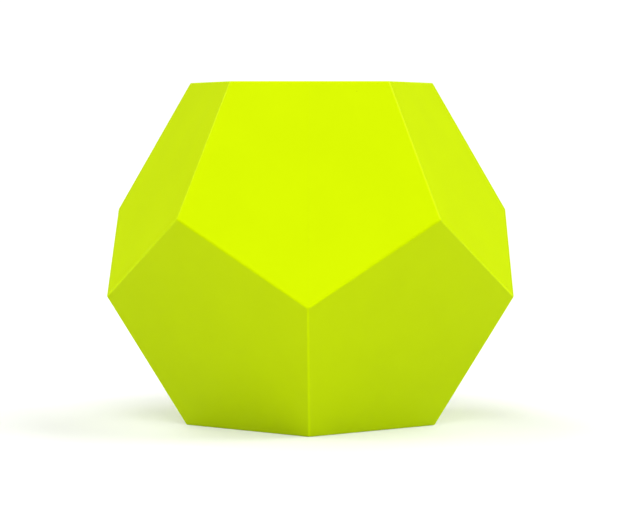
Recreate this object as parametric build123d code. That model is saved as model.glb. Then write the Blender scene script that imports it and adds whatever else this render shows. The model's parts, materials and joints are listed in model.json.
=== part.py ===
from build123d import *

import math
import os

# A shape-changing twisty puzzle in the form of a plain regular dodecahedron.
#
# Three mutually perpendicular cuts through its centre divide it into eight corner pieces.
# Each corner piece is an outer shell screwed to an inner frame, whose foot is trapped in a
# ball of hidden edge pieces.  Six round retainers hold the ball together, each pulled
# towards the six-armed core by a screw and a spring.
#
# Everything is first modelled in the puzzle's own frame, whose X, Y and Z axes are the three
# turning axes and whose origin is the centre.  Each finished piece is then stood on the
# dodecahedron's base face: the base lies in the plane Z = 0 with its centre at the origin, and
# one corner of the base points to -Y, the front.
#
# Going outwards from the centre, a puzzle piece has a foot, a shoulder and a head.  Feet and
# heads are bounded by spheres about the centre and by cones about the turning axes, so that
# they stay clear of each other whichever half is turned.

# ------------------------------------------------------------------ driving dimensions, mm
edge_length = 30.0            # of the sharp-cornered dodecahedron
edge_round = 0.5              # radius on its 30 edges
seam_gap = 0.004              # between two shells across a cut, which the springs press shut

shell_wall = 2.0
boss_radius = 2.6             # screw boss inside each shell
frame_wall = 1.6              # cut walls and dish of each inner frame
frame_recess = 0.15           # a frame's cut walls stand this far behind the shell's rims
frame_fit = 0.05              # between a frame and the shell around it

foot_radius = 13.5            # from the centre to where the feet begin
foot_height = 5.0             # along a radius
head_thickness = 5.5          # along a radius, beyond the feet
foot_angle = 69.0             # half angle of the cones that bound the feet, degrees
head_angle = 61.5             # half angle of the cones that bound the heads, degrees
slide_clearance = 0.10        # taken off each sliding face
ball_clearance = 0.15         # between the ball and the dishes that ride on it

core_radius = 8.0
arm_side_clearance = 0.438    # between an arm's side and the feet around it
arm_clearance = 0.3           # between an arm's end and the feet's inner sphere
core_fillet = 1.5
on_the_sphere = 0.05          # an edge this near the core's sphere is the root of an arm

hub_clearance = 0.35          # between a retainer's hub and the feet beside it
retainer_floor = 2.6          # thickness under the spring
retainer_gap = 0.1            # between a retainer and its arm
retainer_rim_inset = 0.3      # the retainer's outer face lies this far inside the ball

spring_diameter = 6.0
spring_wire = 0.6
spring_turns = 4
spring_clearance = 0.3        # around the spring in its pocket
contact_gap = 0.02            # between parts that the spring presses together

washer_bore = 3.2
washer_thickness = 0.5

tension_screw_diameter = 3.0
tension_screw_length = 16.0
tension_head_diameter = 5.6
tension_head_height = 1.8
tension_head_cover = 0.78         # the head's top lies this far inside the ball
screw_running_clearance = 0.2     # radial, where a retainer turns on its screw
thread_clearance = 0.02           # radial, in a threaded hole
hole_runout = 0.8                 # a blind hole is this much deeper than its screw
head_round = 1 / 3                # round on a screw head's rim, as a share of its height
recess_width = 0.8                # cross recess in a screw head
recess_span = 0.6                 # its length as a share of the head's diameter
recess_depth = 0.9

corner_screw_diameter = 2.0
corner_screw_length = 16.0
corner_head_diameter = 3.8
corner_head_height = 1.4
corner_head_depth = 2.0           # head seat below the foot's inner end
corner_head_clearance = 0.15
corner_shank_clearance = 0.1

# ------------------------------------------------------------------ worked out from them
golden = (1 + math.sqrt(5)) / 2
face_distance = edge_length * golden**2 / (2 * math.sqrt(3 - golden))
half_cube = edge_length * golden / 2              # the eight corners (1, 1, 1) lie at this
base_tilt = 90 + math.degrees(math.atan(1 / golden))
reach = 2 * edge_length                           # longer than any half of the puzzle
shoulder_radius = foot_radius + foot_height       # where feet end and heads begin
ball_radius = shoulder_radius + head_thickness    # where the heads end
dish_inner_radius = ball_radius + ball_clearance
dish_outer_radius = dish_inner_radius + frame_wall
foot_opening = foot_radius * math.cos(math.radians(foot_angle))     # radius left between feet
arm_radius = foot_opening - arm_side_clearance
arm_end = foot_radius - arm_clearance
retainer_start = arm_end + retainer_gap
pocket_bottom = retainer_start + retainer_floor
tension_head_seat = ball_radius - tension_head_cover - tension_head_height
washer_bottom = tension_head_seat - contact_gap - washer_thickness
spring_length = washer_bottom - pocket_bottom     # as fitted
corner_head_seat = foot_radius + corner_head_depth

standing = Location((0, 0, face_distance), (base_tilt, 0, 0))
bottom_aligned = (Align.CENTER, Align.CENTER, Align.MIN)
outward = (1, 1, 1)           # from the centre to the tip of the corner piece

axis_directions = {
    "right": (1, 0, 0),
    "left": (-1, 0, 0),
    "top_front": (0, 1, 0),
    "bottom_back": (0, -1, 0),
    "lower_front": (0, 0, 1),
    "upper_back": (0, 0, -1),
}

corner_directions = {
    "front_right": (1, 1, 1),
    "front_left": (-1, 1, 1),
    "top_right": (1, 1, -1),
    "top_left": (-1, 1, -1),
    "bottom_right": (1, -1, 1),
    "bottom_left": (-1, -1, 1),
    "back_right": (1, -1, -1),
    "back_left": (-1, -1, -1),
}

# A hidden edge piece lies between two turning axes; the zero marks the third one.
edge_directions = {
    "front": (0, 1, 1),
    "top": (0, 1, -1),
    "bottom": (0, -1, 1),
    "back": (0, -1, -1),
    "upper_right": (1, 1, 0),
    "upper_left": (-1, 1, 0),
    "lower_right": (1, -1, 0),
    "lower_left": (-1, -1, 0),
    "front_right": (1, 0, 1),
    "front_left": (-1, 0, 1),
    "back_right": (1, 0, -1),
    "back_left": (-1, 0, -1),
}


# ------------------------------------------------------------------ shared geometry
def dodecahedron(distance):
    """Regular dodecahedron whose twelve faces lie at the given distance from the centre."""
    solid = Box(2 * reach, 2 * reach, 2 * reach)
    for first in (-1, 1):
        for second in (-golden, golden):
            for normal in ((0, second, first), (first, 0, second), (second, first, 0)):
                direction = Vector(*normal).normalized()
                face_plane = Plane(origin=direction * distance, z_dir=direction)
                solid = split(solid, bisect_by=face_plane, keep=Keep.BOTTOM)
    return solid


def octant(start):
    """The space where X, Y and Z are all larger than start."""
    return Location((start, start, start)) * Box(reach, reach, reach, align=(Align.MIN,) * 3)


def cone_point(radius, half_angle, offset):
    """Where a cone about the axis, moved inwards by offset, meets a sphere about the centre.

    Returned as (distance from the axis, height along the axis).
    """
    angle = math.radians(half_angle)
    apex = offset / math.sin(angle)
    run = math.sqrt(radius**2 - offset**2) - apex * math.cos(angle)
    return (run * math.sin(angle), apex + run * math.cos(angle))


def arc_about_centre(start, end):
    """Arc of a circle about the centre, from one profile point to another."""
    middle = Vector(start[0] + end[0], start[1] + end[1]).normalized() * math.hypot(*start)
    return ThreePointArc(start, (middle.X, middle.Y), end)


def turned_solid(outline):
    """Solid of revolution about Z, from a closed outline of (radius, height) edges."""
    return revolve(Plane.XZ * make_face(outline), Axis.Z)


def turning_cap(inner_radius, outer_radius):
    """Everything that turns with one half inside the ball: inside the cones about +Z.

    Wide for the feet, then narrower for the heads, between two spheres.
    """
    top_of_foot = shoulder_radius - slide_clearance
    foot_inner = cone_point(inner_radius, foot_angle, slide_clearance)
    foot_outer = cone_point(top_of_foot, foot_angle, slide_clearance)
    head_inner = cone_point(top_of_foot, head_angle, slide_clearance)
    head_outer = cone_point(outer_radius, head_angle, slide_clearance)
    return turned_solid(
        [
            arc_about_centre((0, inner_radius), foot_inner),
            Line(foot_inner, foot_outer),
            arc_about_centre(foot_outer, head_inner),
            Line(head_inner, head_outer),
            arc_about_centre(head_outer, (0, outer_radius)),
            Line((0, outer_radius), (0, inner_radius)),
        ]
    )


def middle_ring():
    """The belt between the +Z and -Z cones: narrow for the feet, wider for the heads."""
    foot_inner = cone_point(foot_radius, foot_angle, -slide_clearance)
    foot_outer = cone_point(shoulder_radius, foot_angle, -slide_clearance)
    head_inner = cone_point(shoulder_radius, head_angle, -slide_clearance)
    head_outer = cone_point(ball_radius, head_angle, -slide_clearance)
    below = [(radius, -height) for radius, height in (foot_inner, foot_outer, head_inner, head_outer)]
    return turned_solid(
        [
            arc_about_centre(below[0], foot_inner),
            Line(foot_inner, foot_outer),
            arc_about_centre(foot_outer, head_inner),
            Line(head_inner, head_outer),
            arc_about_centre(head_outer, below[3]),
            Line(below[3], below[2]),
            arc_about_centre(below[2], below[1]),
            Line(below[1], below[0]),
        ]
    )


def on_three_axes(solid):
    """A solid made about Z, and the same about X and about Y."""
    return (Rotation(0, 90, 0) * solid, Rotation(-90, 0, 0) * solid, solid)


def facing(direction):
    """Location that turns +Z to the given direction."""
    return Plane(origin=(0, 0, 0), z_dir=direction).location


def mirrored_to(solid, direction):
    """A piece made in the octant where all is positive, mirrored into another octant."""
    for side, mirror_plane in zip(direction, (Plane.YZ, Plane.XZ, Plane.XY)):
        if side < 0:
            solid = mirror(solid, about=mirror_plane)
    return solid


def rod(diameter, start, end):
    """Cylinder along +Z between two heights."""
    return Location((0, 0, start)) * Cylinder(diameter / 2, end - start, align=bottom_aligned)


# ------------------------------------------------------------------ corner pieces
def corner_shell():
    """Outer shell of a corner piece: a rounded octant of the dodecahedron, with a boss."""
    outside = dodecahedron(face_distance)
    outside = fillet(outside.edges(), edge_round)
    inside = dodecahedron(face_distance - shell_wall)
    boss_start = dish_outer_radius + frame_fit
    boss = facing(outward) * rod(2 * boss_radius, boss_start, half_cube * math.sqrt(3))
    screw_tip = corner_head_seat + corner_screw_length
    hole_diameter = corner_screw_diameter + 2 * thread_clearance
    screw_hole = facing(outward) * rod(hole_diameter, boss_start - frame_wall, screw_tip + hole_runout)
    filled = outside & octant(seam_gap / 2)
    return filled - (inside - boss) - screw_hole


def corner_foot(shank_hole, head_hole):
    """Neck and foot of a corner piece, inside the cones about all three of its axes."""
    first, second, third = on_three_axes(
        turning_cap(foot_radius + slide_clearance, dish_inner_radius + frame_wall / 2)
    )
    return (first & second & third) - shank_hole - head_hole


def corner_frame():
    """Inner frame of a corner piece: three cut walls, a dish that rides on the ball, a foot."""
    wall_start = seam_gap / 2 + frame_recess
    shank_hole = facing(outward) * rod(
        corner_screw_diameter + 2 * corner_shank_clearance, 0, dish_outer_radius + frame_wall
    )
    head_hole = facing(outward) * rod(
        corner_head_diameter + 2 * corner_head_clearance, 0, corner_head_seat
    )
    body = dodecahedron(face_distance - shell_wall - frame_fit) & octant(wall_start)
    opening = octant(wall_start + frame_wall) - Sphere(dish_outer_radius)
    walls = body - opening - Sphere(dish_inner_radius) - shank_hole
    return walls + corner_foot(shank_hole, head_hole)


def corner_screw():
    """Pan-head screw that holds a shell to its frame, along the corner's own diagonal."""
    return facing(outward) * pan_head_screw(
        corner_screw_diameter,
        corner_screw_length,
        corner_head_diameter,
        corner_head_height,
        -corner_head_seat,
        -1,
    )


# ------------------------------------------------------------------ screws, springs, washers
def pan_head_screw(diameter, length, head_diameter, head_height, seat, outwards):
    """Screw along Z with a cross recess; the head's underside is at the given height.

    The head points to +Z for outwards = 1 and to -Z for outwards = -1.
    """
    head = fillet(
        rod(head_diameter, 0, head_height).edges().sort_by(Axis.Z)[-1:],
        head_height * head_round,
    )
    slot = Box(recess_width, head_diameter * recess_span, 2 * recess_depth)
    top = Location((0, 0, head_height))
    screw = head + rod(diameter, -length, 0) - top * slot - top * (Rotation(0, 0, 90) * slot)
    screw = Location((0, 0, seat)) * screw
    if outwards < 0:
        screw = Rotation(180, 0, 0) * screw
    return screw


def tension_screw():
    """Screw that pulls a retainer towards the core."""
    return pan_head_screw(
        tension_screw_diameter,
        tension_screw_length,
        tension_head_diameter,
        tension_head_height,
        tension_head_seat,
        1,
    )


def tension_spring():
    """Open coil spring round the tension screw."""
    wire_radius = spring_wire / 2
    rise = spring_length - 2 * contact_gap - spring_wire
    coil = Helix(
        pitch=rise / spring_turns,
        height=rise,
        radius=(spring_diameter - spring_wire) / 2,
        center=(0, 0, pocket_bottom + contact_gap + wire_radius),
    )
    section = Plane(origin=coil @ 0, z_dir=coil % 0) * Circle(wire_radius)
    return sweep(section, path=coil, is_frenet=True)


def washer():
    """Flat washer between a spring and its screw's head."""
    disc = rod(spring_diameter, washer_bottom, washer_bottom + washer_thickness)
    return disc - rod(washer_bore, 0, reach)


# ------------------------------------------------------------------ the ball and its core
def hidden_edge():
    """Hidden edge piece between the +X and +Y axes, in the belt about Z."""
    about_x, about_y, _ = on_three_axes(turning_cap(foot_radius, ball_radius))
    return middle_ring() & about_x & about_y


def placed_edge(piece, direction):
    """The hidden edge piece, brought to another place in the ball."""
    third_axis = direction.index(0)
    turns = {2: 0, 0: 120, 1: 240}[third_axis]
    piece = piece.rotate(Axis((0, 0, 0), outward), turns)
    return mirrored_to(piece, direction)


def retainer():
    """Round retainer about +Z: a hub beside the feet and a flange over them."""
    flange_bottom = shoulder_radius
    hub_radius = foot_opening - hub_clearance
    shoulder = math.sqrt(flange_bottom**2 - hub_radius**2)
    flange_angle = 90 - head_angle
    flange_inner = cone_point(flange_bottom, flange_angle, slide_clearance)
    flange_outer = cone_point(ball_radius - retainer_rim_inset, flange_angle, slide_clearance)
    crown = (0, math.hypot(*flange_outer))
    body = turned_solid(
        [
            Line((0, retainer_start), (hub_radius, retainer_start)),
            Line((hub_radius, retainer_start), (hub_radius, shoulder)),
            arc_about_centre((hub_radius, shoulder), flange_inner),
            Line(flange_inner, flange_outer),
            arc_about_centre(flange_outer, crown),
            Line(crown, (0, retainer_start)),
        ]
    )
    pocket = rod(spring_diameter + 2 * spring_clearance, pocket_bottom, reach)
    bore = rod(tension_screw_diameter + 2 * screw_running_clearance, 0, reach)
    return body - pocket - bore


def core():
    """Six-armed core with a threaded hole in the end of each arm."""
    arm_diameter = 2 * arm_radius
    body = Sphere(core_radius)
    for arm in on_three_axes(rod(arm_diameter, -arm_end, arm_end)):
        body = body + arm
    roots = [edge for edge in body.edges() if abs((edge @ 0).length - core_radius) < on_the_sphere]
    body = fillet(roots, core_fillet)
    hole_bottom = tension_head_seat - tension_screw_length - hole_runout
    hole = rod(tension_screw_diameter + 2 * thread_clearance, hole_bottom, reach)
    for direction in axis_directions.values():
        body = body - facing(direction) * hole
    return body


# ------------------------------------------------------------------ writing the pieces
def write(name, solid):
    """Stand a finished piece on the base face and write it as its own file."""
    export_step(standing * solid, f"parts/{name}.step")


def main():
    os.makedirs("parts", exist_ok=True)
    write("core", core())

    about_one_axis = {
        "retainer": retainer(),
        "tension_screw": tension_screw(),
        "tension_spring": tension_spring(),
        "washer": washer(),
    }
    for kind, solid in about_one_axis.items():
        for place, direction in axis_directions.items():
            write(f"{kind}_{place}", facing(direction) * solid)

    edge_piece = hidden_edge()
    for place, direction in edge_directions.items():
        write(f"hidden_edge_{place}", placed_edge(edge_piece, direction))

    shell = corner_shell()
    frame = corner_frame()
    screw = corner_screw()
    screws = {"upper": [], "lower": []}
    for place, direction in corner_directions.items():
        write(f"{place}_shell", mirrored_to(shell, direction))
        write(f"{place}_frame", mirrored_to(frame, direction))
        half = "upper" if direction[1] > 0 else "lower"
        screws[half].append(mirrored_to(screw, direction))
    for half, solids in screws.items():
        write(f"{half}_corner_screws", Compound(children=solids))


main()
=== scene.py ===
import json
import math

import bpy
import numpy as np
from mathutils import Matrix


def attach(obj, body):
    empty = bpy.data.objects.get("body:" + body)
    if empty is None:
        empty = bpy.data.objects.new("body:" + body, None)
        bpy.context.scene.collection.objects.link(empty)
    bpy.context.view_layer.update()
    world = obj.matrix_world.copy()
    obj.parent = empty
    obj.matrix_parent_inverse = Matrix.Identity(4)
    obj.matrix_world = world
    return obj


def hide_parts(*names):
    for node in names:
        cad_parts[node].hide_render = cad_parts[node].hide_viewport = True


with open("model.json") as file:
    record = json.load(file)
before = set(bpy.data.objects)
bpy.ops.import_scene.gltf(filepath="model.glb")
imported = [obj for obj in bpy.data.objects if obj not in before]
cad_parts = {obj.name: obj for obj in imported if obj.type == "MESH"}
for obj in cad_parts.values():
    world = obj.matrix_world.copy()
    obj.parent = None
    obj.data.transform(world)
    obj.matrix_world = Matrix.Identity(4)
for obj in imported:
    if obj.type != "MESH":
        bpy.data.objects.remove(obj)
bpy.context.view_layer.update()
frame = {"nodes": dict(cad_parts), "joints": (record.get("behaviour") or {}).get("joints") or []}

bl_info = {
    "name": "Dodecahedron Puzzle Finisher",
    "version": (1, 0, 0),
    "blender": (4, 5, 0),
    "location": "3D View > Sidebar > Puzzle",
    "description": "Plastics, metals, screws and springs of a shape-changing dodecahedron puzzle",
    "category": "Object",
}

MM = 0.001
SOFT_CREASE = math.radians(50)      # edges sharper than this stay crisp on the springs
HARD_CREASE = math.radians(32)      # and on the screws

# ---------------------------------------------------------------- places taken from the frame
JOINTS = {joint["name"]: joint for joint in frame["joints"]}
MAIN_JOINT = JOINTS["upper_half_turn"]
CENTRE = np.array(MAIN_JOINT["pos_m"], float)
AXES = {"top_front": np.array(MAIN_JOINT["axis"], float)}
for place in ("right", "left", "lower_front", "upper_back", "bottom_back"):
    AXES[place] = np.array(JOINTS[f"retainer_{place}_spin"]["axis"], float)

CORNERS = {
    "front_right": ("right", "top_front", "lower_front"),
    "front_left": ("left", "top_front", "lower_front"),
    "top_right": ("right", "top_front", "upper_back"),
    "top_left": ("left", "top_front", "upper_back"),
    "bottom_right": ("right", "bottom_back", "lower_front"),
    "bottom_left": ("left", "bottom_back", "lower_front"),
    "back_right": ("right", "bottom_back", "upper_back"),
    "back_left": ("left", "bottom_back", "upper_back"),
}
UPPER_CORNERS = [name for name, axes in CORNERS.items() if "top_front" in axes]
LOWER_CORNERS = [name for name, axes in CORNERS.items() if "bottom_back" in axes]

GOLDEN = (1 + math.sqrt(5)) / 2
NORMAL_LENGTH = math.sqrt(1 + GOLDEN**2)
TILT = math.atan2(AXES["top_front"][2], AXES["top_front"][1])


def corner_direction(name):
    """Unit vector from the centre to a corner piece's tip: the sum of its three axes over root 3."""
    return sum(AXES[axis] for axis in CORNERS[name]) / math.sqrt(3)


def node_points(node):
    """Vertices of a CAD node as an array, in metres."""
    mesh = frame["nodes"][node].data
    flat = np.zeros(3 * len(mesh.vertices), np.float32)
    mesh.vertices.foreach_get("co", flat)
    return flat.reshape(-1, 3).astype(float)


def spread_about(node, direction, reach):
    """Heights along a direction and distances from it, for the vertices within reach of that line.

    height = (p - centre) . d;  distance = |(p - centre) - height * d|.
    """
    offset = node_points(node) - CENTRE
    height = offset @ direction
    distance = np.linalg.norm(offset - height[:, None] * direction, axis=1)
    near = (height > 0) & (distance < reach)
    return height[near], distance[near]


# ---------------------------------------------------------------- settings
class PlasticSettings(bpy.types.PropertyGroup):
    """Colours and surface of the moulded plastics."""

    shell_colour: bpy.props.FloatVectorProperty(
        name="Shell colour",
        description="Fluorescent yellow-green of the outer shells",
        subtype="COLOR",
        size=3,
        min=0,
        max=1,
        default=(0.645, 0.85, 0.0),
    )
    shell_roughness: bpy.props.FloatProperty(
        name="Shell roughness",
        description="Satin of the outer faces",
        subtype="FACTOR",
        min=0,
        max=1,
        default=0.42,
    )
    texture_size: bpy.props.FloatProperty(
        name="Texture size",
        description="Grain of the spark-eroded mould surface",
        subtype="DISTANCE",
        default=0.25 * MM,
    )
    edge_wear_width: bpy.props.FloatProperty(
        name="Edge wear width",
        description="How far the handling polish reaches from an edge",
        subtype="DISTANCE",
        default=0.9 * MM,
    )
    # Painted highlight: how far the paler line laid along each edge reaches
    edge_highlight_width: bpy.props.FloatProperty(
        name="Edge line width",
        description="Reach of the paler line that each moulded edge has",
        subtype="DISTANCE",
        default=0.34 * MM,
    )
    frame_colour: bpy.props.FloatVectorProperty(
        name="Frame colour",
        description="Yellow-green of the inner frames",
        subtype="COLOR",
        size=3,
        min=0,
        max=1,
        default=(0.64, 0.90, 0.0),
    )
    slider_colour: bpy.props.FloatVectorProperty(
        name="Slider colour",
        description="Natural nylon of the hidden edge pieces and retainers",
        subtype="COLOR",
        size=3,
        min=0,
        max=1,
        default=(0.76, 0.75, 0.69),
    )
    core_colour: bpy.props.FloatVectorProperty(
        name="Core colour",
        description="Black plastic of the six-armed core",
        subtype="COLOR",
        size=3,
        min=0,
        max=1,
        default=(0.016, 0.016, 0.018),
    )


class HardwareSettings(bpy.types.PropertyGroup):
    """Screws, springs and washers."""

    steel_colour: bpy.props.FloatVectorProperty(
        name="Spring steel",
        description="Drawn wire of the springs",
        subtype="COLOR",
        size=3,
        min=0,
        max=1,
        default=(0.52, 0.52, 0.53),
    )
    zinc_colour: bpy.props.FloatVectorProperty(
        name="Zinc plate",
        description="Plating of the screws and washers",
        subtype="COLOR",
        size=3,
        min=0,
        max=1,
        default=(0.66, 0.68, 0.72),
    )
    tension_thread_pitch: bpy.props.FloatProperty(
        name="Tension screw pitch",
        description="Rise of the tension screws' thread in one turn",
        subtype="DISTANCE",
        default=1.1 * MM,
    )
    corner_thread_pitch: bpy.props.FloatProperty(
        name="Corner screw pitch",
        description="Rise of the corner screws' thread in one turn",
        subtype="DISTANCE",
        default=0.8 * MM,
    )
    thread_depth_share: bpy.props.FloatProperty(
        name="Thread depth",
        description="Thread depth as a share of the shank's radius",
        subtype="FACTOR",
        min=0,
        max=0.6,
        default=0.27,
    )
    spring_wire: bpy.props.FloatProperty(
        name="Spring wire",
        description="Diameter of the spring wire",
        subtype="DISTANCE",
        default=0.6 * MM,
    )
    spring_open_turns: bpy.props.FloatProperty(
        name="Open turns",
        description="Turns of a spring between its closed ends",
        min=1,
        default=2.5,
    )


class StageSettings(bpy.types.PropertyGroup):
    """Camera, floor and studio light."""

    camera_back: bpy.props.FloatProperty(
        name="Camera distance",
        description="How far the camera stands in front of the puzzle's centre line",
        subtype="DISTANCE",
        default=477.9 * MM,
    )
    camera_right: bpy.props.FloatProperty(
        name="Camera offset",
        description="How far the camera stands to the right",
        subtype="DISTANCE",
        default=6.2 * MM,
    )
    camera_height: bpy.props.FloatProperty(
        name="Camera height",
        description="Height of the camera above the floor",
        subtype="DISTANCE",
        default=60.9 * MM,
    )
    aim_height: bpy.props.FloatProperty(
        name="Aim height",
        description="Height on the centre line that the camera looks at",
        subtype="DISTANCE",
        default=31.4 * MM,
    )
    lens: bpy.props.FloatProperty(
        name="Lens",
        description="Focal length on a 36 mm sensor, in millimetres",
        min=10,
        default=140.2,
    )
    floor_radius: bpy.props.FloatProperty(
        name="Floor radius",
        description="Radius of the white floor",
        subtype="DISTANCE",
        default=4.0,
    )
    surround: bpy.props.FloatProperty(
        name="Surround",
        description="Strength of the white room light",
        min=0,
        default=0.03,
    )
    light_spread: bpy.props.FloatProperty(
        name="Light spread",
        description="How wide each soft light looks from the puzzle",
        subtype="ANGLE",
        default=math.radians(34),
    )


# ---------------------------------------------------------------- shader arithmetic
class Wire:
    """A socket carrying a number; arithmetic on it adds Math nodes."""

    def __init__(self, board, socket):
        self.board = board
        self.socket = socket

    def math(self, operation, *values):
        """Add a Math node, fed by wires or numbers in order."""
        return self.board.add("ShaderNodeMath", {"operation": operation}, dict(enumerate(values)))

    def __add__(self, other):
        return self.math("ADD", self, other)

    def __radd__(self, other):
        return self.math("ADD", other, self)

    def __sub__(self, other):
        return self.math("SUBTRACT", self, other)

    def __rsub__(self, other):
        return self.math("SUBTRACT", other, self)

    def __mul__(self, other):
        return self.math("MULTIPLY", self, other)

    def __rmul__(self, other):
        return self.math("MULTIPLY", other, self)

    def __truediv__(self, other):
        return self.math("DIVIDE", self, other)

    def __abs__(self):
        return self.math("ABSOLUTE", self)

    def larger(self, other):
        """The larger of this and another wire."""
        return self.math("MAXIMUM", self, other)

    def smaller(self, other):
        """The smaller of this and another wire."""
        return self.math("MINIMUM", self, other)


class NodeBoard:
    """The nodes of one material or of the world."""

    def __init__(self, owner):
        owner.use_nodes = True
        self.nodes = owner.node_tree.nodes
        self.links = owner.node_tree.links
        self.nodes.clear()

    def put(self, target, value):
        """Link a wire to a socket, or set the socket's own value."""
        if isinstance(value, Wire):
            self.links.new(value.socket, target)
        else:
            target.default_value = value

    def add(self, kind, settings=None, values=None, output=0):
        """Add a node: its settings first, then the values or wires of its sockets."""
        node = self.nodes.new(kind)
        for key, value in (settings or {}).items():
            setattr(node, key, value)
        for key, value in (values or {}).items():
            self.put(self.find(node.inputs, key), value)
        return None if output is None else Wire(self, self.find(node.outputs, output))

    def find(self, sockets, key):
        """A socket by its place or name, or by its identifier where names repeat."""
        return next((socket for socket in sockets if socket.identifier == key), None) or sockets[key]


class Paint(NodeBoard):
    """One procedural material, with a Principled shader as its finish."""

    def __init__(self, name, colour, roughness, **fixed):
        self.material = bpy.data.materials.new(name)
        self.material.diffuse_color = (*colour, 1.0)
        super().__init__(self.material)
        surface = self.add("ShaderNodeBsdfPrincipled")
        self.shader = surface.socket.node
        self.finish(Base_Color=(*colour, 1.0), Roughness=roughness, **fixed)
        self.add("ShaderNodeOutputMaterial", None, {"Surface": surface}, output=None)

    def finish(self, **values):
        """Feed the shader's sockets, named with _ for each space."""
        for socket, value in values.items():
            self.put(self.shader.inputs[socket.replace("_", " ")], value)

    def place(self):
        """Object coordinates in metres, which every pattern is laid out on."""
        return self.add("ShaderNodeTexCoord", output="Object")

    def height(self):
        """Height above the base, with the puzzle at rest."""
        return self.add("ShaderNodeSeparateXYZ", None, {0: self.place()}, output="Z")

    def noise(self, size, detail=2.0, roughness=0.5, stretch=None):
        """Noise whose lumps are about the given size across, 0 to 1."""
        where = self.place()
        if stretch is not None:
            where = self.add("ShaderNodeVectorMath", {"operation": "MULTIPLY"}, {0: where, 1: stretch})
        return self.add(
            "ShaderNodeTexNoise",
            None,
            {"Vector": where, "Scale": 1 / size, "Detail": detail, "Roughness": roughness},
        )

    def fade(self, value, start, end):
        """0 below start, 1 above end, smooth between them."""
        return self.add(
            "ShaderNodeMapRange",
            {"interpolation_type": "SMOOTHSTEP"},
            {"Value": value, "From Min": start, "From Max": end, "To Min": 0.0, "To Max": 1.0},
        )

    def tint(self, share, first, second):
        """Mix of two colours, each a wire or three numbers."""
        first, second = (c if isinstance(c, Wire) else (*c, 1.0) for c in (first, second))
        return self.add(
            "ShaderNodeMix",
            {"data_type": "RGBA"},
            {"Factor_Float": share, "A_Color": first, "B_Color": second},
            output="Result_Color",
        )

    def relief(self, height, depth):
        """Bump of the given depth in metres."""
        return self.add("ShaderNodeBump", None, {"Height": height, "Distance": depth, "Strength": 1.0})

    def puzzle_place(self):
        """Distances |x|, |y|, |z| from the three cut planes, along the puzzle's own axes."""
        turned = self.add(
            "ShaderNodeMapping",
            {"vector_type": "TEXTURE"},
            {"Vector": self.place(), "Location": tuple(CENTRE), "Rotation": (TILT, 0, 0)},
        )
        first = self.add("ShaderNodeSeparateXYZ", None, {0: turned})
        return [abs(Wire(self, socket)) for socket in first.socket.node.outputs]

    def distance_from_centre(self):
        """How far a point is from the puzzle's centre."""
        offset = self.add(
            "ShaderNodeVectorMath", {"operation": "SUBTRACT"}, {0: self.place(), 1: tuple(CENTRE)}
        )
        return self.add("ShaderNodeVectorMath", {"operation": "LENGTH"}, {0: offset}, output="Value")

    def edge_distance(self):
        """About how far a point of the outside is from the nearest edge of the dodecahedron.

        The twelve faces stand at n . p = h for n = (0, +-g, +-1), (+-1, 0, +-g), (+-g, +-1, 0) over
        their length.  The largest of those products belongs to the point's own face and the
        second largest to the nearest neighbour; their difference shrinks to 0 at the edge.
        """
        x, y, z = self.puzzle_place()
        pairs = ((y, z), (z, x), (x, y))
        plus = [(far * GOLDEN + near) / NORMAL_LENGTH for far, near in pairs]
        minus = [(far * GOLDEN - near) / NORMAL_LENGTH for far, near in pairs]
        largest = plus[0].larger(plus[1]).larger(plus[2])
        smallest = plus[0].smaller(plus[1]).smaller(plus[2])
        middle = plus[0] + plus[1] + plus[2] - largest - smallest
        second = middle.larger(minus[0]).larger(minus[1]).larger(minus[2])
        return largest - second


# ---------------------------------------------------------------- materials
MOULDED_IOR = 1.5
NYLON_IOR = 1.53
CORE_IOR = 1.52
WEAR_CORE = 0.1 * MM                        # distance from an edge that is wholly rubbed
HIGHLIGHT_CORE = 0.08 * MM                       # and that has the full painted highlight
LOW_EDGE_HIGHLIGHT_END = 22 * MM                     # edges below this height have the full painted highlight
HIGH_EDGE_HIGHLIGHT_START = 40 * MM                  # and edges above this one only a trace of it
SPECK_SPACING = 7 * MM
SPECK_RADII = (0.012, 0.028)                # full and fading radius, as shares of the spacing
POLISHED_RADII = (24.3 * MM, 25.2 * MM)     # from the centre: where the dish's polish fades out
TRACK_WIDTH = 0.35 * MM
CRYSTAL_SIZE = 0.25 * MM
FLOOR_WHITE = 0.7
FLOOR_LIFT = 0.22                           # light that only the view of the floor gains


def shade(colour, share):
    """A colour made deeper by a share under 1, or paler by one over 1."""
    return tuple(part * share for part in colour)


def varied(level, *patterns):
    """A number that each (pattern, amount) moves by up to half its amount either way."""
    for pattern, amount in patterns:
        level = level + (pattern - 0.5) * amount
    return level


def grey(level):
    """Neutral colour of one level."""
    return (level, level, level)


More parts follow.
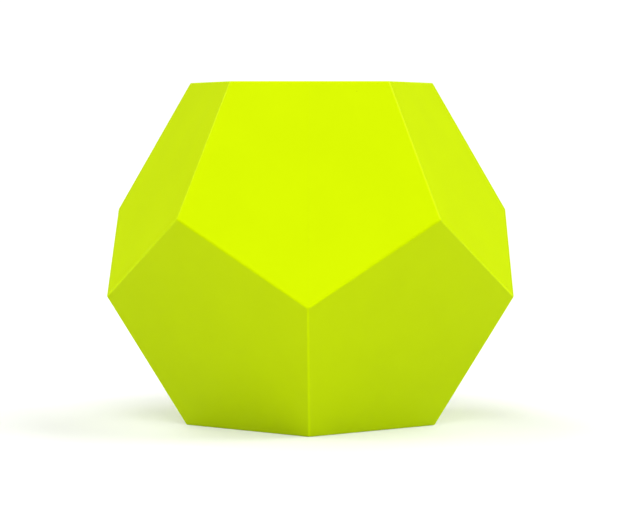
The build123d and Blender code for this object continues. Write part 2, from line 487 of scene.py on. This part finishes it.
def shell_plastic(settings):
    """Satin fluorescent plastic: fine grain, faint clouds, rubbed edges, a painted highlight along the
    edges, a few specks.
    """
    base = tuple(settings.shell_colour)
    paint = Paint(
        "shell_plastic",
        base,
        settings.shell_roughness,
        IOR=MOULDED_IOR,
        Specular_Tint=(*base, 1.0),
        Specular_IOR_Level=0.12,
    )
    # Paler colour used both for the painted edge highlight and for the real paling of rubbed edges
    highlight_and_wear_colour = shade(base, 1.16)
    clouds = paint.noise(11 * MM, detail=3.0)
    grain = paint.noise(settings.texture_size, detail=2.0, roughness=0.6)
    from_edge = paint.edge_distance()
    near_edge = 1.0 - paint.fade(from_edge, WEAR_CORE, settings.edge_wear_width)
    # Painted highlight: a paler line along every edge, standing in for the light that the rounded
    # edges catch
    edge_highlight_mask = 1.0 - paint.fade(from_edge, HIGHLIGHT_CORE, settings.edge_highlight_width)
    rubbed = near_edge * paint.fade(paint.noise(2.5 * MM, detail=3.0), 0.35, 0.7)
    # Painted highlight by height: full on the lower edges and a fifth of it higher up, where the light
    # catches the edges less
    low = 1.0 - 0.8 * paint.fade(paint.height(), LOW_EDGE_HIGHLIGHT_END, HIGH_EDGE_HIGHLIGHT_START)
    cells = paint.add(
        "ShaderNodeTexVoronoi",
        {"feature": "F1"},
        {"Vector": paint.place(), "Scale": 1 / SPECK_SPACING, "Randomness": 1.0},
    )
    speck = 1.0 - paint.fade(cells, *SPECK_RADII)
    colour = paint.tint(paint.fade(clouds, 0.3, 0.7), shade(base, 0.982), base)
    # Painted highlight along the edges, plus a little real paling where handling has rubbed them
    colour = paint.tint(edge_highlight_mask * low * 0.9 + rubbed * 0.08, colour, highlight_and_wear_colour)
    colour = paint.tint(speck * 0.35, colour, shade(base, 0.72))
    roughness = varied(settings.shell_roughness, (grain, 0.10), (clouds, 0.06)) - rubbed * 0.10
    paint.finish(Base_Color=colour, Roughness=roughness, Normal=paint.relief(grain, 0.006 * MM))
    return paint.material


def frame_plastic(settings):
    """Matt yellow-green plastic of the inner frames, polished where the ball rubs the dish."""
    base = tuple(settings.frame_colour)
    paint = Paint("frame_plastic", base, 0.5, IOR=MOULDED_IOR, Specular_Tint=(*base, 1.0))
    flow = paint.noise(6 * MM, detail=4.0, stretch=(1.0, 2.6, 1.0))
    grain = paint.noise(0.35 * MM, detail=3.0, roughness=0.65)
    polished = 1.0 - paint.fade(paint.distance_from_centre(), *POLISHED_RADII)
    colour = paint.tint(flow, shade(base, 0.90), base)
    roughness = varied(0.52, (grain, 0.16)) - polished * 0.18
    paint.finish(Base_Color=colour, Roughness=roughness, Normal=paint.relief(grain, 0.012 * MM))
    return paint.material


def slider_plastic(settings):
    """Natural nylon, milky and smooth, with rubbed tracks where it slides."""
    base = tuple(settings.slider_colour)
    paint = Paint("slider_plastic", base, 0.32, IOR=NYLON_IOR)
    cloud = paint.noise(4 * MM, detail=3.0)
    grain = paint.noise(0.3 * MM, detail=2.0)
    tracks = paint.add(
        "ShaderNodeTexNoise",
        {"noise_dimensions": "1D"},
        {"W": paint.distance_from_centre(), "Scale": 1 / TRACK_WIDTH, "Detail": 2.0},
    )
    colour = paint.tint(cloud, shade(base, 0.93), base)
    colour = paint.tint(paint.fade(tracks, 0.55, 0.8) * 0.25, colour, shade(base, 0.82))
    roughness = varied(0.30, (grain, 0.12), (tracks, 0.18))
    paint.finish(Base_Color=colour, Roughness=roughness, Normal=paint.relief(grain, 0.008 * MM))
    return paint.material


def core_plastic(settings):
    """Black moulded plastic with a fine grain."""
    base = tuple(settings.core_colour)
    paint = Paint("core_plastic", base, 0.4, IOR=CORE_IOR)
    grain = paint.noise(0.3 * MM, detail=3.0, roughness=0.6)
    cloud = paint.noise(3 * MM, detail=2.0)
    colour = paint.tint(cloud, base, shade(base, 1.7))
    roughness = varied(0.36, (grain, 0.2), (cloud, 0.1))
    paint.finish(Base_Color=colour, Roughness=roughness, Normal=paint.relief(grain, 0.015 * MM))
    return paint.material


def spring_steel(settings):
    """Drawn wire: bright, with fine marks left by the die."""
    base = tuple(settings.steel_colour)
    paint = Paint("spring_steel", base, 0.28, Metallic=1.0)
    marks = paint.noise(0.12 * MM, detail=3.0, roughness=0.7)
    cloud = paint.noise(1.6 * MM, detail=2.0)
    colour = paint.tint(cloud, shade(base, 0.82), base)
    roughness = varied(0.26, (marks, 0.2))
    paint.finish(Base_Color=colour, Roughness=roughness, Normal=paint.relief(marks, 0.004 * MM))
    return paint.material


def zinc_plate(settings):
    """Bright zinc plating with fine crystals and warmer clouds where the passivation is thicker."""
    base = tuple(settings.zinc_colour)
    paint = Paint("zinc_plate", base, 0.25, Metallic=1.0)
    crystals = paint.add(
        "ShaderNodeTexVoronoi",
        {"feature": "F1"},
        {"Vector": paint.place(), "Scale": 1 / CRYSTAL_SIZE},
    )
    cloud = paint.noise(1.2 * MM, detail=3.0)
    warm = tuple(part * share for part, share in zip(base, (0.98, 0.93, 0.82)))
    colour = paint.tint(paint.fade(cloud, 0.4, 0.75) * 0.5, base, warm)
    roughness = varied(0.2 + crystals * 0.14, (cloud, 0.12))
    paint.finish(Base_Color=colour, Roughness=roughness, Normal=paint.relief(crystals, 0.004 * MM))
    return paint.material


def floor_white():
    """Plain white floor with the faintest unevenness, seen a little brighter than it lights."""
    paint = Paint(
        "floor_white",
        grey(FLOOR_WHITE),
        0.9,
        Specular_IOR_Level=0.0,
        Emission_Strength=FLOOR_LIFT,
    )
    seen = paint.add("ShaderNodeLightPath", output="Is Camera Ray")
    uneven = paint.noise(0.3, detail=2.0)
    paint.finish(
        Base_Color=paint.tint(uneven, grey(FLOOR_WHITE - 0.005), grey(FLOOR_WHITE + 0.005)),
        Emission_Color=paint.tint(seen, grey(0.0), grey(1.0)),
    )
    return paint.material


def dress(node_or_piece, material):
    """Give a piece one material on all its faces."""
    data = node_or_piece.data
    data.materials.clear()
    data.materials.append(material)


# ---------------------------------------------------------------- mesh helpers
def closed_surface(rings, first_pole, last_pole):
    """Closed surface through rings of points, with a pole at each end, as (points, triangles).

    rings is (rows, columns, 3); each row is a closed loop.  Quads between rows, cut in two, and a
    fan of triangles at each pole, turned so that the enclosed volume is positive.
    """
    rows, columns, _ = rings.shape
    points = np.vstack([rings.reshape(-1, 3), first_pole, last_pole])
    row, column = np.meshgrid(np.arange(rows - 1), np.arange(columns), indexing="ij")
    here = row * columns + column
    beside = row * columns + (column + 1) % columns
    lower = np.stack([here, beside, beside + columns], axis=-1).reshape(-1, 3)
    upper = np.stack([here, beside + columns, here + columns], axis=-1).reshape(-1, 3)
    around = np.arange(columns)
    onward = (around + 1) % columns
    pole, other_pole = np.full(columns, rows * columns), np.full(columns, rows * columns + 1)
    last = (rows - 1) * columns
    start_fan = np.stack([onward, around, pole], axis=-1)
    end_fan = np.stack([last + around, last + onward, other_pole], axis=-1)
    triangles = np.vstack([lower, upper, start_fan, end_fan])
    corners = points[triangles] - points.mean(axis=0)
    volume = np.einsum("ij,ij->", corners[:, 0], np.cross(corners[:, 1], corners[:, 2]))
    return points, triangles if volume > 0 else triangles[:, ::-1]


def mesh_of(name, surfaces, crisp):
    """One mesh from closed surfaces, smooth except along edges sharper than an angle."""
    starts = np.cumsum([0] + [len(points) for points, _ in surfaces[:-1]])
    points = np.vstack([points for points, _ in surfaces])
    triangles = np.vstack([faces + start for (_, faces), start in zip(surfaces, starts)])
    mesh = bpy.data.meshes.new(name)
    mesh.from_pydata(points, [], triangles)
    mesh.update()
    mesh.shade_smooth()
    mesh.set_sharp_from_angle(angle=crisp)
    return mesh


def new_piece(mesh, body, slot, material, *replaced):
    """Link a finished mesh as a piece that rides on a body in place of CAD nodes."""
    piece = bpy.data.objects.new(mesh.name, mesh)
    bpy.context.scene.collection.objects.link(piece)
    dress(piece, material)
    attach(piece, body)
    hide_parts(*replaced)
    return piece


def basis_along(direction):
    """Three unit rows: two across the direction and the direction itself."""
    helper = np.array([1.0, 0, 0]) if abs(direction[0]) < 0.9 else np.array([0, 0, 1.0])
    across = np.cross(helper, direction)
    across /= np.linalg.norm(across)
    return np.vstack([across, np.cross(direction, across), direction])


def along(points, direction):
    """Local points, Z along the direction, moved to the puzzle's centre."""
    return points @ basis_along(direction) + CENTRE


# ---------------------------------------------------------------- screws and springs
SCREW_REACH = 3.2 * MM      # no screw is wider than this radius
SCREW_COLUMNS = 96          # points round a screw
ROWS_PER_TURN = 10          # rings in each turn of a thread
HEAD_STEPS = 7              # rings over a head's edge round, and over its dome
POINT_TURNS = 1.5           # turns over which a shank narrows to its point
BLUNT_TIP = 0.12            # share of the narrowing at which the point is cut off
NECK_TURNS = 0.8            # turns over which the thread runs out under the head
BURR = 0.06 * MM            # chamfer under a head's rim
SPRING_REACH = 4 * MM       # no spring is wider than this radius
COIL_STEPS = 56             # sections of wire in each turn of a spring
WIRE_SIDES = 14             # points round the wire
END_TURN_GAP = 1.02         # rise of a closed end turn, in wire thicknesses


def triangle_wave(phase):
    """Thread section: a V over the middle half of each turn, flat root between."""
    return np.clip(1 - np.abs(phase % 1 - 0.5) / 0.25, 0, 1)


def cross_outline(angle, arm):
    """Radius of a plus-shaped recess at an angle, arms of length arm.

    Folded to within 45 degrees of an arm it is min(arm / cos a, half width / sin a), where the
    half width is arm * tan 15 degrees.
    """
    folded = np.abs((angle + np.pi / 4) % (np.pi / 2) - np.pi / 4)
    half_width = arm * math.tan(math.radians(15))
    return np.minimum(arm / np.cos(folded), half_width / np.maximum(np.sin(folded), 1e-9))


def screw_surface(direction, seat, tip, head_end, head_radius, shank_radius, pitch, depth_share):
    """Pan-head screw with a helical thread and a cross recess, along a direction from the centre.

    Shank: radius = root + depth * V(height / pitch - angle / 360) over its length, narrowing to
    a blunt point over the last turn and a half, with a plain neck under the head.  Head: an edge
    round, then a dome height = top - drop * (radius / dome radius)^2, down into the recess.  seat,
    tip and head_end are heights from the puzzle's centre; the head may point either way.
    """
    angle = np.arange(SCREW_COLUMNS) * 2 * np.pi / SCREW_COLUMNS
    length = abs(tip - seat)
    head_height = abs(head_end - seat)
    depth = depth_share * shank_radius
    down = np.linspace(length, 0.0, int(length / pitch * ROWS_PER_TURN))[:, None]
    taper = np.clip((length - down) / (POINT_TURNS * pitch), BLUNT_TIP, 1.0) ** 0.6
    thread = triangle_wave(down / pitch - angle[None, :] / (2 * np.pi))
    neck = np.clip(down / (NECK_TURNS * pitch), 0, 1)
    shank = (shank_radius - depth + depth * thread * neck) * taper
    radii = [shank]
    heights = [np.broadcast_to(-down, shank.shape)]

    def ring(radius, height):
        """Add one ring of the head, its height measured from the seat."""
        radii.append(np.broadcast_to(radius, (1, SCREW_COLUMNS)))
        heights.append(np.broadcast_to(height, (1, SCREW_COLUMNS)))

    edge_round = head_height * 0.28
    drop = head_height * 0.16
    side_top = head_height - edge_round - drop
    dome_radius = head_radius - edge_round
    ring(head_radius - BURR, 0.0)
    ring(head_radius, BURR)
    ring(head_radius, side_top)
    for turn in np.linspace(0, np.pi / 2, HEAD_STEPS)[1:]:
        ring(dome_radius + edge_round * math.cos(turn), side_top + edge_round * math.sin(turn))
    recess_outline = cross_outline(angle, head_radius * 0.55)
    for share in np.linspace(0, 1, HEAD_STEPS)[1:]:
        radius = dome_radius * (1 - share) + recess_outline * share
        ring(radius, head_height - drop * (radius / dome_radius) ** 2)
    rim = head_height - drop * (recess_outline / dome_radius) ** 2
    recess_floor = head_height * (1 - 0.55)
    ring(recess_outline * 0.97, rim - 0.03 * MM)
    ring(recess_outline * 0.86, recess_floor)
    ring(recess_outline * 0.4, recess_floor - 0.08 * MM)
    radius, height = np.vstack(radii), np.vstack(heights)
    way = math.copysign(1.0, head_end - seat)
    local = np.stack([radius * np.cos(angle), radius * np.sin(angle), seat + way * height], axis=-1)
    poles = np.array([[0, 0, tip], [0, 0, seat + way * (recess_floor - 0.1 * MM)]])
    return closed_surface(along(local, direction), *along(poles, direction))


def screw_measures(node, direction, head_inside):
    """Seat, tip, head end, head radius and shank radius of a CAD screw, read from its vertices."""
    height, distance = spread_about(node, direction, SCREW_REACH)
    tip = height.max() if head_inside else height.min()
    head_end = height.min() if head_inside else height.max()
    shank_radius = distance[np.abs(height - tip) < 0.05 * MM].max()
    wide = height[distance > 1.3 * shank_radius]
    seat = wide.max() if head_inside else wide.min()
    return seat, tip, head_end, distance.max(), shank_radius


def spring_surface(direction, low, high, outer_radius, wire, open_turns):
    """Compression spring with closed ends: a round wire carried along a coil.

    The coil rises one wire thickness in each end turn and evenly over the open turns between, and
    a short moving average rounds the changes of slope.  Its section is a circle across the path.
    """
    turns = open_turns + 2
    turn = np.linspace(0, turns, int(turns * COIL_STEPS) + 1)
    rise = high - low - wire
    closed = wire * END_TURN_GAP
    climb = np.interp(turn, [0, 1, turns - 1, turns], [0, closed, rise - closed, rise])
    kernel = np.hanning(COIL_STEPS // 3)
    half = len(kernel) // 2
    padded = np.pad(climb, half, mode="reflect", reflect_type="odd")
    smooth = np.convolve(padded, kernel / kernel.sum(), mode="same")[half : half + len(turn)]
    angle = 2 * np.pi * turn
    outwards = np.stack([np.cos(angle), np.sin(angle), np.zeros_like(angle)], -1)
    path = (outer_radius - wire / 2) * outwards
    path[:, 2] = low + wire / 2 + smooth
    tangent = np.gradient(path, axis=0)
    tangent /= np.linalg.norm(tangent, axis=1)[:, None]
    outwards -= (outwards * tangent).sum(1)[:, None] * tangent
    outwards /= np.linalg.norm(outwards, axis=1)[:, None]
    sideways = np.cross(tangent, outwards)
    section = np.arange(WIRE_SIDES) * 2 * np.pi / WIRE_SIDES
    rings = path[:, None, :] + wire / 2 * (
        np.cos(section)[None, :, None] * outwards[:, None, :]
        + np.sin(section)[None, :, None] * sideways[:, None, :]
    )
    return closed_surface(along(rings, direction), *along(path[[0, -1]], direction))


# ---------------------------------------------------------------- stage
SEEN_ROOM = 1.1         # brightness of the room's walls, just past white
FLOOR_SIDES = 96
SENSOR_WIDTH = 36.0     # millimetres, as the lens is
WHITE = (1.0, 1.0, 1.0, 1.0)

# Direction of each soft light as seen from the puzzle, in degrees: bearing from the front, to the
# right, and height above the floor.  Strength is what it adds to a white face turned to it.
LIGHTS = {
    "front": {"bearing": 0, "height": 45, "strength": 0.38},
    "front_left": {"bearing": -40, "height": 65, "strength": 0.21},
    "right": {"bearing": 80, "height": 45, "strength": 0.50},
    "left": {"bearing": -80, "height": 45, "strength": 0.18},
    "back_right": {"bearing": 130, "height": 50, "strength": 0.24},
    "back_left": {"bearing": -130, "height": 50, "strength": 0.36},
}


def make_floor(settings):
    """Disc of white floor under the puzzle's base: (radius cos a, radius sin a, 0)."""
    mesh = bpy.data.meshes.new("floor")
    angle = np.linspace(0, 2 * np.pi, FLOOR_SIDES, endpoint=False)
    rim = settings.floor_radius * np.stack([np.cos(angle), np.sin(angle), np.zeros_like(angle)], -1)
    mesh.from_pydata(rim, [], [range(FLOOR_SIDES)])
    floor = bpy.data.objects.new("floor", mesh)
    bpy.context.scene.collection.objects.link(floor)
    dress(floor, floor_white())


def make_room_light(settings):
    """White room: full white to the eye, and a gentler fill on the puzzle."""
    world = bpy.data.worlds.new("room")
    bpy.context.scene.world = world
    room = NodeBoard(world)
    seen = room.add("ShaderNodeBackground", None, {"Color": WHITE, "Strength": SEEN_ROOM})
    fill = room.add("ShaderNodeBackground", None, {"Color": WHITE, "Strength": settings.surround})
    to_camera = room.add("ShaderNodeLightPath", output="Is Camera Ray")
    mixed = room.add("ShaderNodeMixShader", None, {0: to_camera, 1: fill, 2: seen})
    room.add("ShaderNodeOutputWorld", None, {"Surface": mixed}, output=None)


def make_soft_light(name, spread, bearing, height, strength):
    """Far soft light, aimed at the floor's centre from the given direction."""
    data = bpy.data.lights.new(name, "SUN")
    data.angle = spread
    data.energy = math.pi * strength
    light = bpy.data.objects.new(name, data)
    bpy.context.scene.collection.objects.link(light)
    around, above = math.radians(bearing), math.radians(height)
    light.location = (
        math.sin(around) * math.cos(above),
        -math.cos(around) * math.cos(above),
        math.sin(above),
    )
    aim(light, (0.0, 0.0, 0.0))


def aim(obj, target):
    """Turn a camera or light to look at a point."""
    toward = np.array(target, float) - np.array(obj.location, float)
    level = math.hypot(toward[0], toward[1])
    obj.rotation_euler = (
        math.pi / 2 + math.atan2(toward[2], level),
        0.0,
        math.atan2(-toward[0], toward[1]) if level > 0 else 0.0,
    )


def make_camera(settings):
    """Long lens from the front, a little above the middle of the puzzle."""
    data = bpy.data.cameras.new("camera")
    data.lens = settings.lens
    data.sensor_width = SENSOR_WIDTH
    camera = bpy.data.objects.new("camera", data)
    bpy.context.scene.collection.objects.link(camera)
    camera.location = (settings.camera_right, -settings.camera_back, settings.camera_height)
    aim(camera, (0.0, 0.0, settings.aim_height))
    bpy.context.scene.camera = camera


# ---------------------------------------------------------------- operators
class PUZZLE_OT_finish_shells(bpy.types.Operator):
    """Finish the eight outer shells in satin fluorescent plastic"""

    bl_idname = "puzzle.finish_shells"
    bl_label = "Outer shells"

    def execute(self, context):
        material = shell_plastic(context.scene.puzzle_plastic)
        for corner in CORNERS:
            dress(frame["nodes"][f"{corner}_shell"], material)
        return {"FINISHED"}


class PUZZLE_OT_finish_frames(bpy.types.Operator):
    """Finish the eight inner frames"""

    bl_idname = "puzzle.finish_frames"
    bl_label = "Inner frames"

    def execute(self, context):
        material = frame_plastic(context.scene.puzzle_plastic)
        for corner in CORNERS:
            dress(frame["nodes"][f"{corner}_frame"], material)
        return {"FINISHED"}


class PUZZLE_OT_finish_ball(bpy.types.Operator):
    """Finish the hidden edge pieces, the retainers and the core"""

    bl_idname = "puzzle.finish_ball"
    bl_label = "Ball and core"

    def execute(self, context):
        sliders = slider_plastic(context.scene.puzzle_plastic)
        for name, node in frame["nodes"].items():
            if name.startswith(("hidden_edge_", "retainer_")):
                dress(node, sliders)
        dress(frame["nodes"]["core"], core_plastic(context.scene.puzzle_plastic))
        return {"FINISHED"}


class PUZZLE_OT_build_springs(bpy.types.Operator):
    """Wind the six springs with closed ends"""

    bl_idname = "puzzle.build_springs"
    bl_label = "Springs"

    def execute(self, context):
        settings = context.scene.puzzle_hardware
        material = spring_steel(settings)
        for place, direction in AXES.items():
            node = f"tension_spring_{place}"
            height, distance = spread_about(node, direction, SPRING_REACH)
            coil = spring_surface(
                direction,
                height.min(),
                height.max(),
                distance.max(),
                settings.spring_wire,
                settings.spring_open_turns,
            )
            mesh = mesh_of(f"spring_{place}", [coil], SOFT_CREASE)
            new_piece(mesh, "lower_half", "spring_steel", material, node)
        return {"FINISHED"}


class PUZZLE_OT_build_screws(bpy.types.Operator):
    """Cut the threads and recesses of all the screws and finish the washers"""

    bl_idname = "puzzle.build_screws"
    bl_label = "Screws and washers"

    def execute(self, context):
        settings = context.scene.puzzle_hardware
        material = zinc_plate(settings)
        for place, direction in AXES.items():
            node = f"tension_screw_{place}"
            screw = screw_surface(
                direction,
                *screw_measures(node, direction, False),
                settings.tension_thread_pitch,
                settings.thread_depth_share,
            )
            mesh = mesh_of(f"screw_{place}", [screw], HARD_CREASE)
            new_piece(mesh, "lower_half", "screw_steel", material, node)
            dress(frame["nodes"][f"washer_{place}"], material)
        for half, corners in (("upper", UPPER_CORNERS), ("lower", LOWER_CORNERS)):
            node = f"{half}_corner_screws"
            screws = [
                screw_surface(
                    corner_direction(corner),
                    *screw_measures(node, corner_direction(corner), True),
                    settings.corner_thread_pitch,
                    settings.thread_depth_share,
                )
                for corner in corners
            ]
            whole = mesh_of(f"{half}_shell_screws", screws, HARD_CREASE)
            new_piece(whole, f"{half}_half", "screw_steel", material, node)
        return {"FINISHED"}


class PUZZLE_OT_set_stage(bpy.types.Operator):
    """Set up the white floor, the soft studio light and the camera"""

    bl_idname = "puzzle.set_stage"
    bl_label = "Stage"

    def execute(self, context):
        settings = context.scene.puzzle_stage
        make_floor(settings)
        make_room_light(settings)
        for name, light in LIGHTS.items():
            make_soft_light(name, settings.light_spread, **light)
        make_camera(settings)
        context.scene.view_settings.view_transform = "Standard"
        return {"FINISHED"}


# ---------------------------------------------------------------- panel and registration
OPERATORS = (
    PUZZLE_OT_set_stage,
    PUZZLE_OT_finish_shells,
    PUZZLE_OT_finish_frames,
    PUZZLE_OT_finish_ball,
    PUZZLE_OT_build_springs,
    PUZZLE_OT_build_screws,
)
SETTINGS = {
    "puzzle_plastic": PlasticSettings,
    "puzzle_hardware": HardwareSettings,
    "puzzle_stage": StageSettings,
}


class PUZZLE_PT_finish(bpy.types.Panel):
    """Lists the steps that finish the puzzle"""

    bl_idname = "PUZZLE_PT_finish"
    bl_label = "Dodecahedron puzzle"
    bl_space_type = "VIEW_3D"
    bl_region_type = "UI"
    bl_category = "Puzzle"

    def draw(self, context):
        for operator in OPERATORS:
            self.layout.operator(operator.bl_idname)
        for name, group in SETTINGS.items():
            box = self.layout.box()
            for setting in group.__annotations__:
                box.prop(getattr(context.scene, name), setting)


def register():
    """Make the panel, its operators and its settings known."""
    for cls in (*SETTINGS.values(), *OPERATORS, PUZZLE_PT_finish):
        bpy.utils.register_class(cls)
    for name, group in SETTINGS.items():
        setattr(bpy.types.Scene, name, bpy.props.PointerProperty(type=group))


def unregister():
    """Take them away again."""
    for name in SETTINGS:
        delattr(bpy.types.Scene, name)
    for cls in (PUZZLE_PT_finish, *reversed(OPERATORS), *reversed(SETTINGS.values())):
        bpy.utils.unregister_class(cls)


def main():
    """Finish the whole puzzle."""
    register()
    bpy.ops.puzzle.set_stage()
    bpy.ops.puzzle.finish_shells()
    bpy.ops.puzzle.finish_frames()
    bpy.ops.puzzle.finish_ball()
    bpy.ops.puzzle.build_springs()
    bpy.ops.puzzle.build_screws()


if __name__ == "__main__":
    main()
